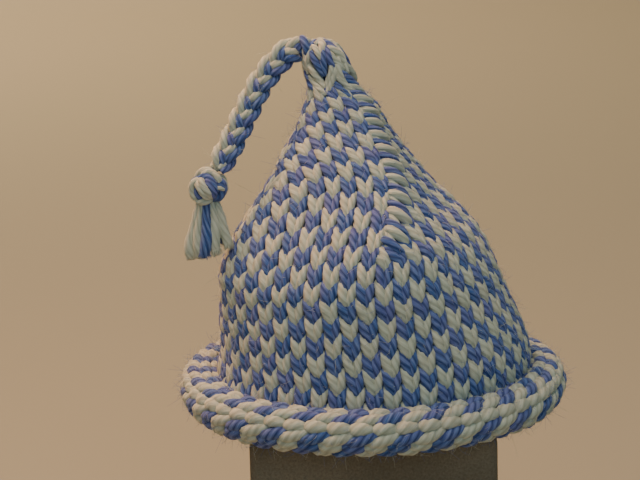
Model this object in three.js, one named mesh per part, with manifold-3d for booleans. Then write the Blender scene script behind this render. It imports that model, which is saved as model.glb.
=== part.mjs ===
import * as THREE from 'three';
import { mergeVertices } from 'three/addons/utils/BufferGeometryUtils.js';
import Module from 'manifold-3d';

// A hand-knitted pointed nightcap with a rolled brim and a braided, tasselled cord,
// resting on a plain box stand. Millimetres, +Z up, +Y away from the front.
// The origin is the middle of the stand's underside.

const wasm = await Module();
wasm.setup();

// Stand
const standWidth = 129;
const standDepth = 129;
const standHeight = 134;
const standCornerRadius = 6;

// Space left between two pieces that touch
const contactGap = 0.3;

// Cap
const bodyRadius = 85.5; // outside of the knitted wall where it meets the brim
const knitWall = 7; // two plump legs of chunky yarn
const crownHeight = 161.5; // from the seat in the brim to the gathered top
const tipLean = 19.6; // how far the gathered top lies to the left of the brim's middle
const tipBack = 12; // how far it lies behind the brim's middle
const ridgeRise = 0.055; // how far a decrease ridge stands out, as a share of the radius
const panelCount = 4;
const stitchesPerPanel = 14;

// Brim
const brimRollRadius = 12.4; // the rolled edge, as a round roll
const brimStandOut = 18.5; // how far the roll stands out beyond the knitted wall
const brimFootWidth = 10; // flat where the roll rests
const seatHeight = 13; // where the wall enters the roll, above its foot
const ropeRowRelief = 1.1; // how deep the furrows between the brim's rows are
const brimRowCount = 3;

// Peak
const peakRadius = 12.2;
const peakHeight = 22;
const peakLean = 3; // further lean of the stub above the gathered top

// Cord, knot and tassel
const cordWidth = 14;
const cordThickness = 9.5;
const cordSides = 12;
const cordSteps = 34;
const knotRadius = 10.3;
const knotLobes = 3;
const knotLobeRise = 0.06;
const tasselHeadRadius = 5;
const tasselLength = 25;
const lockRadius = 3;

// Sections of the crown, from the seat in the brim to the gathered top. up is a share of
// crownHeight, lean of tipLean, back of tipBack, wide of bodyRadius and ridge of ridgeRise.
// turn is the direction of the front ridge in degrees, from the front towards +X.
const crownSections = [
  { up: 0.0, lean: 0.0, back: 0.0, wide: 1.0, ridge: 0.0, turn: 15 },
  { up: 0.105, lean: -0.09, back: 0.0, wide: 0.975, ridge: 0.0, turn: 15 },
  { up: 0.194, lean: 0.0, back: 0.0, wide: 0.947, ridge: 0.0, turn: 15 },
  { up: 0.272, lean: 0.13, back: -0.08, wide: 0.91, ridge: 0.1, turn: 15 },
  { up: 0.34, lean: 0.24, back: -0.16, wide: 0.877, ridge: 0.2, turn: 15 },
  { up: 0.402, lean: 0.33, back: -0.25, wide: 0.857, ridge: 0.35, turn: 15 },
  { up: 0.508, lean: 0.35, back: -0.2, wide: 0.75, ridge: 0.65, turn: 16.5 },
  { up: 0.588, lean: 0.43, back: 0.0, wide: 0.638, ridge: 0.9, turn: 21 },
  { up: 0.644, lean: 0.53, back: 0.15, wide: 0.551, ridge: 1.0, turn: 27 },
  { up: 0.718, lean: 0.59, back: 0.4, wide: 0.458, ridge: 1.0, turn: 34 },
  { up: 0.776, lean: 0.65, back: 0.58, wide: 0.39, ridge: 1.0, turn: 37 },
  { up: 0.851, lean: 0.67, back: 0.78, wide: 0.296, ridge: 0.9, turn: 37 },
  { up: 0.916, lean: 0.7, back: 0.9, wide: 0.237, ridge: 0.7, turn: 38 },
  { up: 0.966, lean: 0.83, back: 0.97, wide: 0.179, ridge: 0.4, turn: 40 },
  { up: 1.0, lean: 1.0, back: 1.0, wide: 0.146, ridge: 0.2, turn: 40 },
];

// Sections of the stub at the top: up is a share of peakHeight, lean of peakLean and
// wide of peakRadius.
const peakSections = [
  { up: 0.0, lean: 0.0, wide: 1.0 },
  { up: 0.2, lean: 0.25, wide: 1.04 },
  { up: 0.5, lean: 0.65, wide: 1.02 },
  { up: 0.75, lean: 0.9, wide: 0.95 },
  { up: 0.9, lean: 1.0, wide: 0.74 },
  { up: 0.98, lean: 1.0, wide: 0.38 },
];

// Route of the cord's middle, from the side of the stub to the knot, measured from the
// middle of the stub's top.
const cordRoute = [
  [-13.9, -0.4, -5.2],
  [-18.4, -1.6, -6.9],
  [-22.7, -2.9, -10.5],
  [-26.6, -4.4, -14.2],
  [-30.1, -6.2, -18.3],
  [-33.2, -8.2, -22.6],
  [-35.9, -10.3, -27.1],
  [-38.4, -12.5, -31.7],
  [-40.9, -14.8, -36.3],
  [-43.3, -17.1, -41],
  [-45.7, -19.4, -45.6],
  [-48.1, -21.8, -50.2],
  [-50.6, -24.2, -54.7],
  [-53.1, -26.5, -59.2],
  [-55.8, -28.9, -63.7],
];

// Loose ends of the tassel: side and front are where the end points, as shares of
// tasselLength, long is its length as a share of tasselLength and thick of lockRadius.
const tasselLocks = [
  { side: -0.52, front: 0.02, long: 0.86, thick: 0.95 },
  { side: -0.24, front: 0.22, long: 0.96, thick: 0.95 },
  { side: -0.02, front: -0.12, long: 1.0, thick: 1.0 },
  { side: 0.12, front: 0.3, long: 0.92, thick: 0.95 },
  { side: 0.32, front: 0.3, long: 0.9, thick: 1.05 },
  { side: -0.22, front: -0.2, long: 0.9, thick: 0.9 },
];

const wool = { roughness: 0.95, metalness: 0 };

function named(name, geometry, colour, finish) {
  const material = new THREE.MeshStandardMaterial({ color: colour, ...finish });
  const mesh = new THREE.Mesh(geometry, material);
  mesh.name = name;
  return mesh;
}

// A smooth curve through one column of a table, read at a share of its height.
function readColumn(table, column, up) {
  let row = 0;
  while (row < table.length - 2 && up > table[row + 1].up) row += 1;
  const slopeAt = (i) => {
    const before = table[Math.max(i - 1, 0)];
    const after = table[Math.min(i + 1, table.length - 1)];
    return (after[column] - before[column]) / (after.up - before.up);
  };
  const low = table[row];
  const high = table[row + 1];
  const span = high.up - low.up;
  const t = (up - low.up) / span;
  const t2 = t * t;
  const t3 = t2 * t;
  return (2 * t3 - 3 * t2 + 1) * low[column] + (t3 - 2 * t2 + t) * span * slopeAt(row)
    + (3 * t2 - 2 * t3) * high[column] + (t3 - t2) * span * slopeAt(row + 1);
}

// One closed skin over rings of equally many points, closed by a fan at each end.
function skinOf(rings) {
  const sides = rings[0].length;
  const positions = rings.flat();
  const indices = [];
  for (let ring = 0; ring < rings.length - 1; ring += 1) {
    for (let side = 0; side < sides; side += 1) {
      const next = (side + 1) % sides;
      const a = ring * sides + side;
      const b = ring * sides + next;
      indices.push(a, b, b + sides, a, b + sides, a + sides);
    }
  }
  const addFan = (ring, first) => {
    const middle = positions.length;
    const centre = new THREE.Vector3();
    rings[ring].forEach((point) => centre.add(point));
    positions.push(centre.divideScalar(sides));
    for (let side = 0; side < sides; side += 1) {
      const a = ring * sides + side;
      const b = ring * sides + ((side + 1) % sides);
      if (first) indices.push(middle, b, a);
      else indices.push(middle, a, b);
    }
  };
  addFan(0, true);
  addFan(rings.length - 1, false);
  const geometry = new THREE.BufferGeometry().setFromPoints(positions);
  geometry.setIndex(indices);
  return geometry;
}

function solidOf(geometry) {
  const bare = geometry.clone();
  bare.deleteAttribute('normal');
  bare.deleteAttribute('uv');
  const merged = mergeVertices(bare);
  return new wasm.Manifold(new wasm.Mesh({
    numProp: 3,
    vertProperties: new Float32Array(merged.attributes.position.array),
    triVerts: new Uint32Array(merged.index.array),
  }));
}

function geometryOf(solid) {
  const mesh = solid.getMesh();
  const geometry = new THREE.BufferGeometry();
  geometry.setAttribute('position', new THREE.BufferAttribute(mesh.vertProperties, mesh.numProp));
  geometry.setIndex(new THREE.BufferAttribute(mesh.triVerts, 1));
  return geometry;
}

// A ring of the crown, drawn in by inset for the inside of the wall.
function crownRing(up, inset) {
  const read = (column) => readColumn(crownSections, column, up);
  const sides = panelCount * stitchesPerPanel;
  const radius = read('wide') * bodyRadius - inset;
  const turn = THREE.MathUtils.degToRad(read('turn'));
  const ring = [];
  for (let side = 0; side < sides; side += 1) {
    const round = (side / sides) * 2 * Math.PI;
    const ridge = ridgeRise * read('ridge') * Math.cos(panelCount * round);
    const reach = radius * (1 + ridge);
    const azimuth = turn - Math.PI / 2 + round;
    const x = reach * Math.cos(azimuth) - tipLean * read('lean');
    const y = reach * Math.sin(azimuth) + tipBack * read('back');
    ring.push(new THREE.Vector3(x, y, crownHeight * up));
  }
  return ring;
}

// The knitted crown: a hollow, four-panelled cone, open below and gathered above.
function crownGeometry() {
  const levelsBetween = 2;
  const levels = crownSections.flatMap((section, i) => {
    const next = crownSections[i + 1];
    if (!next) return [section.up];
    const step = (next.up - section.up) / levelsBetween;
    return Array.from({ length: levelsBetween }, (_, k) => section.up + k * step);
  });
  const narrowest = knitWall / 2;
  const hasRoom = (up) => readColumn(crownSections, 'wide', up) * bodyRadius > 2 * knitWall
    && crownHeight * (1 - up) > knitWall;
  const inner = levels.filter(hasRoom).reverse().map((up) => crownRing(up, knitWall));
  const roof = inner[0].map((point) => point.clone());
  const roofCentre = roof.reduce((sum, p) => sum.add(p), new THREE.Vector3()).divideScalar(roof.length);
  roof.forEach((point) => point.lerp(roofCentre, 0.5).setZ(point.z + narrowest));
  const outer = levels.map((up) => crownRing(up, 0));
  return skinOf([roof, ...inner, ...outer]);
}

// Section of the brim: a soft roll with a flat foot, three rows with furrows between
// them on the outside, and a seat inside its top where the crown's wall goes in.
function brimSection() {
  const middleRadius = bodyRadius + brimStandOut - brimRollRadius;
  const middleHeight = brimRollRadius;
  const wallOutside = bodyRadius + contactGap;
  const points = [];
  const rollAt = (angle, relief) => new THREE.Vector2(
    middleRadius + (brimRollRadius - relief) * Math.cos(angle),
    middleHeight + (brimRollRadius - relief) * Math.sin(angle),
  );
  const footAngle = Math.asin(brimFootWidth / 2 / brimRollRadius);
  const from = -Math.PI / 2 + footAngle;
  const topAngle = Math.acos((wallOutside - middleRadius) / brimRollRadius);
  const outsideSteps = 5 * brimRowCount;
  for (let step = 0; step <= outsideSteps; step += 1) {
    const share = step / outsideSteps;
    const relief = ropeRowRelief * (0.5 - 0.5 * Math.cos(share * brimRowCount * 2 * Math.PI));
    const furrow = ropeRowRelief - relief;
    const atEnd = step === 0 || step === outsideSteps;
    points.push(rollAt(from + share * (topAngle - from), atEnd ? 0 : furrow));
  }
  points.push(new THREE.Vector2(wallOutside, seatHeight - contactGap));
  const innerRadius = bodyRadius - knitWall;
  points.push(new THREE.Vector2(innerRadius, seatHeight - contactGap));
  const innerFrom = Math.PI;
  const innerTo = (3 * Math.PI) / 2 - footAngle;
  const innerSteps = 5;
  for (let step = 1; step <= innerSteps; step += 1) {
    const point = rollAt(innerFrom + (step / innerSteps) * (innerTo - innerFrom), 0);
    point.x = Math.max(point.x, innerRadius);
    points.push(point);
  }
  points.forEach((point) => { point.y = Math.max(point.y, points[0].y); });
  return points;
}

function brimGeometry() {
  const section = brimSection();
  const foot = section[0].y;
  section.forEach((point) => { point.y -= foot; });
  section.push(section[0].clone());
  return new THREE.LatheGeometry(section, panelCount * stitchesPerPanel);
}

// The stub above the gathered top, rounded over.
function peakGeometry() {
  const sides = 24;
  const rings = peakSections.map((section) => {
    const centre = new THREE.Vector3(-peakLean * section.lean, 0, peakHeight * section.up);
    return Array.from({ length: sides }, (_, side) => {
      const angle = (side / sides) * 2 * Math.PI;
      const reach = new THREE.Vector3(Math.cos(angle), Math.sin(angle), 0);
      return reach.multiplyScalar(peakRadius * section.wide).add(centre);
    });
  });
  return skinOf(rings);
}

function cordCurve() {
  const points = cordRoute.map(([x, y, z]) => new THREE.Vector3(x, y, z));
  return new THREE.CatmullRomCurve3(points, false, 'centripetal');
}

function cordGeometry(curve) {
  const section = new THREE.Shape();
  for (let side = 0; side < cordSides; side += 1) {
    const angle = (side / cordSides) * 2 * Math.PI;
    const x = (cordThickness / 2) * Math.cos(angle);
    const y = (cordWidth / 2) * Math.sin(angle);
    if (side === 0) section.moveTo(x, y);
    else section.lineTo(x, y);
  }
  section.closePath();
  return new THREE.ExtrudeGeometry(section, { steps: cordSteps, extrudePath: curve });
}

// The knot below the braid: a ball with the humps of its wrapped strands.
function knotGeometry() {
  const sides = 24;
  const bands = 14;
  const rings = [];
  for (let band = 1; band < bands; band += 1) {
    const down = Math.PI - (band / bands) * Math.PI;
    const ring = [];
    for (let side = 0; side < sides; side += 1) {
      const angle = (side / sides) * 2 * Math.PI;
      const wrap = Math.cos(knotLobes * (angle - down));
      const reach = knotRadius * (1 + knotLobeRise * (wrap - 1) * Math.sin(down));
      ring.push(new THREE.Vector3(
        reach * Math.sin(down) * Math.cos(angle),
        reach * Math.sin(down) * Math.sin(angle),
        reach * Math.cos(down),
      ));
    }
    rings.push(ring);
  }
  return skinOf(rings);
}

// One loose end of the tassel, from the head downwards, a little fuller in the middle.
function lockGeometry({ side, front, long, thick }) {
  const sides = 8;
  const stations = [0, 0.2, 0.45, 0.7, 0.9, 1];
  const fullness = [0.8, 1, 1.1, 1.05, 0.9, 0.6];
  const rings = stations.map((station, i) => {
    const bow = Math.sin((station * Math.PI) / 2);
    const centre = new THREE.Vector3(
      side * tasselLength * bow,
      -front * tasselLength * bow,
      -long * tasselLength * station,
    );
    return Array.from({ length: sides }, (_, k) => {
      const angle = -(k / sides) * 2 * Math.PI;
      const reach = new THREE.Vector3(Math.cos(angle), Math.sin(angle), 0);
      return reach.multiplyScalar(lockRadius * thick * fullness[i]).add(centre);
    });
  });
  return skinOf(rings);
}

function tasselGeometry() {
  const head = new THREE.SphereGeometry(tasselHeadRadius, 16, 10);
  head.rotateX(Math.PI / 2);
  const solids = [head, ...tasselLocks.map(lockGeometry)].map(solidOf);
  return geometryOf(solids.reduce((whole, solid) => whole.add(solid)));
}

function standGeometry() {
  const outline = new THREE.Shape();
  const halfWidth = standWidth / 2;
  const halfDepth = standDepth / 2;
  const corners = [
    [halfWidth - standCornerRadius, halfDepth - standCornerRadius],
    [-halfWidth + standCornerRadius, halfDepth - standCornerRadius],
    [-halfWidth + standCornerRadius, -halfDepth + standCornerRadius],
    [halfWidth - standCornerRadius, -halfDepth + standCornerRadius],
  ];
  corners.forEach(([x, y], quarter) => {
    const start = (quarter * Math.PI) / 2;
    outline.absarc(x, y, standCornerRadius, start, start + Math.PI / 2, false);
  });
  outline.closePath();
  return new THREE.ExtrudeGeometry(outline, { depth: standHeight, bevelEnabled: false, curveSegments: 8 });
}

// The cord hangs from the stub in a group of its own, with the knot and tassel at its end.
function hangingCord() {
  const group = new THREE.Group();
  const curve = cordCurve();
  const cord = named('braided_cord', cordGeometry(curve), 0x8f93b0, wool);
  const end = curve.getPoint(1);
  const along = curve.getTangent(1);
  const knot = named('cord_knot', knotGeometry(), 0x6f7ba6, wool);
  knot.position.copy(end).addScaledVector(along, knotRadius + contactGap);
  const tassel = named('tassel', tasselGeometry(), 0xb9b39d, wool);
  tassel.position.copy(knot.position);
  tassel.position.z -= knotRadius + tasselHeadRadius + contactGap;
  group.add(cord, knot, tassel);
  return group;
}

const nightcap = new THREE.Group();

const stand = named('box_stand', standGeometry(), 0x5b4d3a, { roughness: 0.85, metalness: 0 });
nightcap.add(stand);

const cap = new THREE.Group();
cap.position.z = standHeight + contactGap;
nightcap.add(cap);

const brim = named('brim_roll', brimGeometry(), 0xb4ac98, wool);
brim.rotation.x = Math.PI / 2;
cap.add(brim);

const crown = named('crown', crownGeometry(), 0x7f88b8, wool);
crown.position.z = seatHeight;
cap.add(crown);

const peak = named('peak', peakGeometry(), 0xc9c2ab, wool);
peak.position.set(-tipLean, tipBack, seatHeight + crownHeight + contactGap);
cap.add(peak);

const cordHanger = hangingCord();
cordHanger.position.copy(peak.position);
cordHanger.position.x -= peakLean;
cordHanger.position.z += peakHeight;
cap.add(cordHanger);

export default nightcap;
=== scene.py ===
"""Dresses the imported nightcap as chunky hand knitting, on its plain box stand.

Every stitch of the crown, the rows of the rolled brim, the gathered peak, the plaited cord,
its knot and its tassel are laid yarn by yarn over the frame. Sizes are in millimetres, and
become metres where a mesh is made.
"""
import logging
import math
from dataclasses import dataclass, field
from enum import Enum, IntEnum

import bpy
import numpy as np
from mathutils import Matrix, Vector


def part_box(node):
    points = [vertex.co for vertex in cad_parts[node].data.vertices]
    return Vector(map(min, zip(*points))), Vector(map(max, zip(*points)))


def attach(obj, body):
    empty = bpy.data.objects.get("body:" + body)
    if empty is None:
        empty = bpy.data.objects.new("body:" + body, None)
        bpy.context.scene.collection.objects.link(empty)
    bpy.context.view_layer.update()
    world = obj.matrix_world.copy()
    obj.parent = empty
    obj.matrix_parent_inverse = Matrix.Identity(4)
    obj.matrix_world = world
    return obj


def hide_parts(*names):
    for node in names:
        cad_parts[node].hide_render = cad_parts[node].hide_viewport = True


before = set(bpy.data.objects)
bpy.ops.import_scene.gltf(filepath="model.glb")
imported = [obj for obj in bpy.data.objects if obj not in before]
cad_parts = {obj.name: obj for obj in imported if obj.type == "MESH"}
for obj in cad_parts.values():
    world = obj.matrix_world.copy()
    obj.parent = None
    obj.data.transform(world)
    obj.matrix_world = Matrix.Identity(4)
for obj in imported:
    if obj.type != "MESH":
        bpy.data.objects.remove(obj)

LOG = logging.getLogger("nightcap")
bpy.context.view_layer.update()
MM = 0.001
BODY = "root"
FULL_TURN = 2 * math.pi
CURVE_STEPS = 16  # samples between two points of a smooth curve
TINY = 1e-6

Point = tuple[float, float, float]
Table = tuple[tuple[float, ...], ...]


class Wool(IntEnum):
    """The two yarns of the cap, as material slots of a piece."""

    CREAM = 0
    BLUE = 1


class RowKind(Enum):
    """How the stitches of a brim row show."""

    ROPE = "rope"
    BUMP = "bump"


CREAM, BLUE = Wool
ROPE, BUMP = RowKind


# Small helpers


def node_box(name: str) -> np.ndarray:
    """Lowest and highest corner of a CAD node, in millimetres."""
    return np.array([list(corner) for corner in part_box(name)]) / MM


def unit(vectors: np.ndarray) -> np.ndarray:
    """The vectors at length one."""
    return vectors / np.maximum(np.linalg.norm(vectors, axis=-1, keepdims=True), TINY)


def direction(azimuth: np.ndarray, elevation: np.ndarray) -> np.ndarray:
    """The directions at azimuths and elevations, in radians."""
    level = np.cos(elevation)
    return np.stack([level * np.cos(azimuth), level * np.sin(azimuth), np.sin(elevation)], axis=-1)


def walked(line: np.ndarray) -> np.ndarray:
    """How far along a line each of its points lies."""
    return np.r_[0, np.cumsum(np.linalg.norm(np.diff(line, axis=0), axis=1))]


def ease(t: np.ndarray, start: np.ndarray, leave: np.ndarray, end: np.ndarray,
         arrive: np.ndarray) -> np.ndarray:
    """Goes smoothly from one value to the next.

    Args:
        t: How far along the way, 0 to 1.
        start: The value at the start.
        leave: The slope at the start, over the whole way.
        end: The value at the end.
        arrive: The slope at the end, over the whole way.

    Returns:
        The value at each t.
    """
    t2, t3 = t * t, t * t * t
    return ((2 * t3 - 3 * t2 + 1) * start + (t3 - 2 * t2 + t) * leave
            + (3 * t2 - 2 * t3) * end + (t3 - t2) * arrive)


def smooth_through(points: np.ndarray, count: int) -> np.ndarray:
    """Samples a smooth curve through points, evenly by its length.

    Args:
        points: Points of any dimension, a row each.
        count: How many samples, ends included.

    Returns:
        The samples, a row each.
    """
    padded = np.vstack([2 * points[0] - points[1], points, 2 * points[-1] - points[-2]])
    t = np.linspace(0, 1, CURVE_STEPS, endpoint=False)[:, None]
    fine = []
    for a, b, c, d in zip(padded[:-3], padded[1:-2], padded[2:-1], padded[3:]):
        e, f, g = (max(np.linalg.norm(q - p), TINY) ** 0.5 for p, q in ((a, b), (b, c), (c, d)))
        leave = ((b - a) / e - (c - a) / (e + f) + (c - b) / f) * f
        arrive = ((c - b) / f - (d - b) / (f + g) + (d - c) / g) * f
        fine.append(ease(t, b, leave, c, arrive))
    fine = np.vstack(fine + [points[-1:]])
    along = walked(fine)
    at = np.linspace(0, along[-1], count)
    return np.stack([np.interp(at, along, column) for column in fine.T], axis=1)


def deselect() -> None:
    """Leaves nothing selected, so that an operator acts on the new piece alone."""
    bpy.ops.object.select_all(action="DESELECT")


def edit_points(obj: bpy.types.Object, chosen: np.ndarray | list[bool]) -> None:
    """Enters edit mode with some points of a mesh selected, and nothing else of it.

    Args:
        obj: The mesh object, which is the active one.
        chosen: Whether each point is selected.
    """
    for item in (*obj.data.polygons, *obj.data.edges):
        item.select = False
    for vertex, is_chosen in zip(obj.data.vertices, chosen):
        vertex.select = bool(is_chosen)
    bpy.ops.object.mode_set(mode="EDIT")
    bpy.ops.mesh.select_mode(type="VERT")


def leave_edit() -> None:
    """Turns all faces of the piece in edit mode outwards, and leaves edit mode."""
    bpy.ops.mesh.select_all(action="SELECT")
    bpy.ops.mesh.normals_make_consistent(inside=False)
    bpy.ops.object.mode_set(mode="OBJECT")


def own_points(obj: bpy.types.Object) -> np.ndarray:
    """The points of a mesh object in metres, a row each."""
    return np.array([vertex.co for vertex in obj.data.vertices], dtype=float)


def set_points(obj: bpy.types.Object, points: np.ndarray) -> None:
    """Moves the points of a mesh object."""
    obj.data.vertices.foreach_set("co", points.astype(np.float32).ravel())
    obj.data.update()


def apply_modifier(obj: bpy.types.Object, kind: str, **settings: float) -> None:
    """Adds a modifier to the active piece and applies it.

    Args:
        obj: The piece.
        kind: The modifier's type.
        **settings: The modifier's settings.
    """
    modifier = obj.modifiers.new(kind.lower(), kind)
    for name, value in settings.items():
        setattr(modifier, name, value)
    bpy.ops.object.modifier_apply(modifier=modifier.name)


def dress(obj: bpy.types.Object, name: str, material: bpy.types.Material) -> None:
    """Shades the selected piece smooth, names it, and gives it its material.

    Args:
        obj: The piece.
        name: The name of the piece and its mesh.
        material: The piece's material.
    """
    bpy.ops.object.shade_smooth()
    obj.name = obj.data.name = name
    obj.data.materials.append(material)


def finish_form(obj: bpy.types.Object, name: str, material: bpy.types.Material) -> None:
    """Applies a modelled piece's place, turns its faces outwards and dresses it.

    Args:
        obj: The piece.
        name: The name of the piece and its mesh.
        material: The piece's material.
    """
    deselect()
    obj.select_set(True)
    bpy.context.view_layer.objects.active = obj
    bpy.ops.object.transform_apply(location=True, rotation=True, scale=True)
    bpy.ops.object.mode_set(mode="EDIT")
    leave_edit()
    dress(obj, name, material)


def settle(piece: bpy.types.Object, slot: str, *nodes: str) -> None:
    """Rides a piece on the cap's one body, hides the CAD nodes that it stands for, and logs its
    faces.

    Args:
        piece: The finished piece.
        slot: Its slot; not used.
        *nodes: The CAD nodes that it stands for.
    """
    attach(piece, BODY)
    if nodes:
        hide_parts(*nodes)
    LOG.info("%s: %d faces", piece.name, len(piece.data.polygons))


def add_object(name: str, data: bpy.types.ID) -> bpy.types.Object:
    """Adds an object to the scene.

    Args:
        name: Its name.
        data: The mesh, light or camera that it shows.

    Returns:
        The object.
    """
    obj = bpy.data.objects.new(name, data)
    bpy.context.scene.collection.objects.link(obj)
    return obj


def standing(place: np.ndarray, right: np.ndarray, up: np.ndarray, back: np.ndarray) -> Matrix:
    """The placement of an object, from its place in metres and the directions of its axes."""
    turn = Matrix([[right[k], up[k], back[k]] for k in range(3)])
    return Matrix.Translation(place) @ turn.to_4x4()


# Materials


def linear(colour: str) -> tuple[float, float, float, float]:
    """An sRGB hex colour as linear values with full alpha."""
    channels = [int(colour[i:i + 2], 16) / 255 for i in (1, 3, 5)]
    return (*(c / 12.92 if c <= 0.04045 else ((c + 0.055) / 1.055) ** 2.4 for c in channels), 1.0)


def wire(tree: bpy.types.NodeTree, kind: str, inputs: dict | None = None,
         **settings: str) -> bpy.types.Node:
    """Adds a node, with its settings and its links.

    Args:
        tree: The tree that gets the node.
        kind: The node's type.
        inputs: For each socket, a value or the socket that feeds it.
        **settings: The node's own settings.

    Returns:
        The new node.
    """
    node = tree.nodes.new(kind)
    for name, value in settings.items():
        setattr(node, name, value)
    for socket, value in (inputs or {}).items():
        if isinstance(value, bpy.types.NodeSocket):
            tree.links.new(value, node.inputs[socket])
        else:
            node.inputs[socket].default_value = value
    return node


def new_material(name: str) -> tuple[bpy.types.Material, bpy.types.NodeTree]:
    """Starts a material.

    Args:
        name: Its name.

    Returns:
        The material and its empty tree.
    """
    material = bpy.data.materials.new(name)
    material.use_nodes = True
    material.node_tree.nodes.clear()
    return material, material.node_tree


def close_material(tree: bpy.types.NodeTree, height: bpy.types.NodeSocket, strength: float,
                   depth: float, surface: dict) -> None:
    """Ends a material with its relief, its shader and its output.

    Args:
        tree: The material's tree.
        height: What raises the surface.
        strength: How much of the relief shows.
        depth: The relief's depth in millimetres.
        surface: The shader's inputs.
    """
    relief = wire(tree, "ShaderNodeBump", {
        "Strength": strength, "Distance": depth * MM, "Height": height})
    shader = wire(tree, "ShaderNodeBsdfPrincipled", {**surface, "Normal": relief.outputs[0]})
    wire(tree, "ShaderNodeOutputMaterial", {"Surface": shader.outputs[0]})


@dataclass(frozen=True)
class PliedWool:
    """Soft S-plied wool, spun loosely and dyed in the fleece.

    Its loose fibres scatter light, so it has no gloss and a pale velvety edge. The fleece is
    blended from several shades, which show as streaks along the plies. The furrows between
    the plies are darkened with painted shade.
    """

    name: str
    base: str
    streak: str
    blush: str
    # furrow: painted shade colour, laid into the furrows between the plies
    furrow: str
    sheen: str
    streak_share: float
    blush_share: float
    furrow_shade_share: float
    fibre_width: float = 0.75  # drawn coarser than a real fibre, so that it shows
    blend_length: float = 16.0

    def make(self) -> bpy.types.Material:
        """Makes the node material, which reads the attributes that a heap of yarns keeps.

        Returns:
            The material.
        """
        material, tree = new_material(self.name)
        strand, tint, furrow = (wire(tree, "ShaderNodeAttribute", attribute_name=name)
                                for name in ("strand", "tint", "furrow"))
        place = wire(tree, "ShaderNodeTexCoord")
        fibres = wire(tree, "ShaderNodeTexNoise", {
            "Vector": strand.outputs["Vector"], "Scale": 1 / self.fibre_width,
            "Detail": 3.0, "Roughness": 0.6})
        blend = wire(tree, "ShaderNodeTexNoise", {
            "Vector": place.outputs["Object"], "Scale": 1 / (self.blend_length * MM),
            "Detail": 2.0, "Roughness": 0.6})
        tinted = wire(tree, "ShaderNodeMath", {
            0: blend.outputs["Fac"], 1: tint.outputs["Fac"]}, operation="ADD")
        layers = (  # what drives the layer, where it begins and is full, its share and colour
            (tinted.outputs[0], 0.5, 0.9, self.blush_share, self.blush),
            (fibres.outputs["Fac"], 0.38, 0.66, self.streak_share, self.streak),
            # the last layer paints shade into the furrows between the plies
            (furrow.outputs["Fac"], 0.3, 1.0, self.furrow_shade_share, self.furrow))
        colour = linear(self.base)
        for driver, begins, full, share, shade in layers:
            amount = wire(tree, "ShaderNodeMapRange", {
                "Value": driver, "From Min": begins, "From Max": full, "To Max": share})
            mixed = wire(tree, "ShaderNodeMix", {
                0: amount.outputs[0], 6: colour, 7: linear(shade)}, data_type="RGBA")
            colour = mixed.outputs[2]
        close_material(tree, fibres.outputs["Fac"], strength=0.8, depth=0.7, surface={
            "Base Color": colour, "Roughness": 0.95, "Specular IOR Level": 0.15,
            "Sheen Weight": 0.28, "Sheen Roughness": 0.45, "Sheen Tint": linear(self.sheen)})
        return material


@dataclass(frozen=True)
class KnitBacking:
    """The purl side behind the stitches: the same two wools, matted together, coloured dark as
    painted shade.

    Its dark colour is painted shade: it gives the eye the dark, faintly ridged ground between the
    plump yarns.
    """

    name: str = "purl_backing_painted_shade"
    # both colours are dark with painted shade, darker than either wool
    dark: str = "#2f3a55"
    light: str = "#6d7287"
    loop_size: float = 9.6
    fibre_width: float = 1.2  # drawn coarser than a real fibre, so that it shows

    def make(self) -> bpy.types.Material:
        """Makes the node material.

        Returns:
            The material.
        """
        material, tree = new_material(self.name)
        place = wire(tree, "ShaderNodeTexCoord")
        loops = wire(tree, "ShaderNodeTexVoronoi", {
            "Vector": place.outputs["Object"], "Scale": 1 / (self.loop_size * MM)})
        fibres = wire(tree, "ShaderNodeTexNoise", {
            "Vector": place.outputs["Object"], "Scale": 1 / (self.fibre_width * MM),
            "Detail": 4.0})
        matted = wire(tree, "ShaderNodeMath", {
            0: loops.outputs["Distance"], 1: fibres.outputs["Fac"]}, operation="MULTIPLY")
        colour = wire(tree, "ShaderNodeMix", {
            0: matted.outputs[0], 6: linear(self.dark), 7: linear(self.light)}, data_type="RGBA")
        close_material(tree, matted.outputs[0], strength=0.7, depth=1.2, surface={
            "Base Color": colour.outputs[2], "Roughness": 0.97, "Specular IOR Level": 0.1})
        return material


@dataclass(frozen=True)
class GreyBoard:
    """Solid taupe board, pressed from pulp and cut: matte, with a faint mottle and grit."""

    name: str = "pressed_board"
    base: str = "#8d8271"
    fleck: str = "#6a6152"
    mottle_size: float = 60.0
    grit_size: float = 1.4  # coarser than the real grit, so that it shows

    def make(self) -> bpy.types.Material:
        """Makes the node material.

        Returns:
            The material.
        """
        material, tree = new_material(self.name)
        place = wire(tree, "ShaderNodeTexCoord")
        mottle = wire(tree, "ShaderNodeTexNoise", {
            "Vector": place.outputs["Object"], "Scale": 1 / (self.mottle_size * MM),
            "Detail": 4.0})
        grit = wire(tree, "ShaderNodeTexNoise", {
            "Vector": place.outputs["Object"], "Scale": 1 / (self.grit_size * MM),
            "Detail": 3.0, "Roughness": 0.7})
        both = wire(tree, "ShaderNodeMath", {
            0: mottle.outputs["Fac"], 1: grit.outputs["Fac"]}, operation="MULTIPLY")
        share = wire(tree, "ShaderNodeMapRange", {
            "Value": both.outputs[0], "From Min": 0.12, "From Max": 0.4})
        colour = wire(tree, "ShaderNodeMix", {
            0: share.outputs[0], 6: linear(self.fleck), 7: linear(self.base)}, data_type="RGBA")
        close_material(tree, grit.outputs["Fac"], strength=0.35, depth=0.4, surface={
            "Base Color": colour.outputs[2], "Roughness": 0.88, "Specular IOR Level": 0.25})
        return material


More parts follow.
